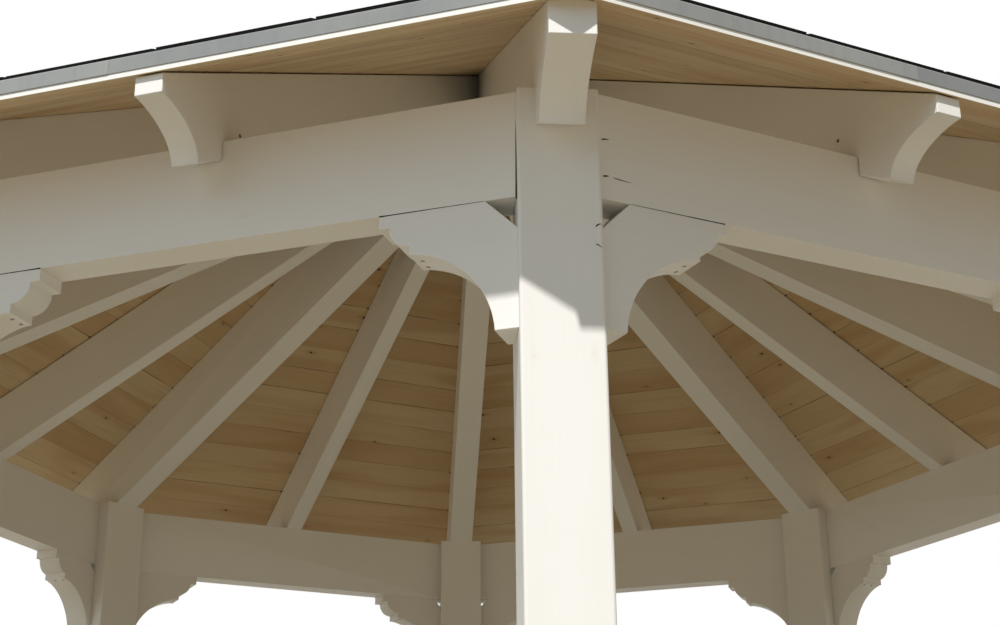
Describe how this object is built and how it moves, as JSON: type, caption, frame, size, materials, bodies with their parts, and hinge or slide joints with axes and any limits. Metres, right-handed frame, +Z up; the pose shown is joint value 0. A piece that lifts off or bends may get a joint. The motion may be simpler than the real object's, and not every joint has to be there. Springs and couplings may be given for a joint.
{
  "type": "garden gazebo",
  "caption": "Open eight-sided timber garden gazebo with shaped corner brackets, coved rafter tails and a low shingled pyramid roof.",
  "frame": {"origin": "centre of the eight-sided plan at the level of the post feet", "axes": "+Z up along the axis of the roof; the bays face the X and Y axes and the diagonals between them; the bay on the left of the picture faces -Y"},
  "size_m": [3.7436, 3.7436, 3.463],
  "materials": {
    "painted_timber": "brushed off-white satin paint",
    "roof_boards": "clear-stained knotty softwood boards, painted at the edge",
    "roof_shingles": "matt bitumen shingles with mineral granules",
    "edge_metal": "grey coated sheet, slightly weathered"
  },
  "bodies": {
    "root": {"post_1": "painted_timber", "post_2": "painted_timber", "post_3": "painted_timber", "post_4": "painted_timber", "post_5": "painted_timber", "post_6": "painted_timber", "post_7": "painted_timber", "post_8": "painted_timber", "beam_1": "painted_timber", "beam_2": "painted_timber", "beam_3": "painted_timber", "beam_4": "painted_timber", "beam_5": "painted_timber", "beam_6": "painted_timber", "beam_7": "painted_timber", "beam_8": "painted_timber", "bracket_pair_1": "painted_timber", "bracket_pair_2": "painted_timber", "bracket_pair_3": "painted_timber", "bracket_pair_4": "painted_timber", "bracket_pair_5": "painted_timber", "bracket_pair_6": "painted_timber", "bracket_pair_7": "painted_timber", "bracket_pair_8": "painted_timber", "hip_rafter_1": "painted_timber", "hip_rafter_2": "painted_timber", "hip_rafter_3": "painted_timber", "hip_rafter_4": "painted_timber", "hip_rafter_5": "painted_timber", "hip_rafter_6": "painted_timber", "hip_rafter_7": "painted_timber", "hip_rafter_8": "painted_timber", "mid_rafter_1": "painted_timber", "mid_rafter_2": "painted_timber", "mid_rafter_3": "painted_timber", "mid_rafter_4": "painted_timber", "mid_rafter_5": "painted_timber", "mid_rafter_6": "painted_timber", "mid_rafter_7": "painted_timber", "mid_rafter_8": "painted_timber", "king_block": "painted_timber", "roof_deck": "roof_boards", "roof_covering": "roof_shingles", "drip_edge": "edge_metal", "peak_cap": "roof_shingles"}
  },
  "joints": []
}
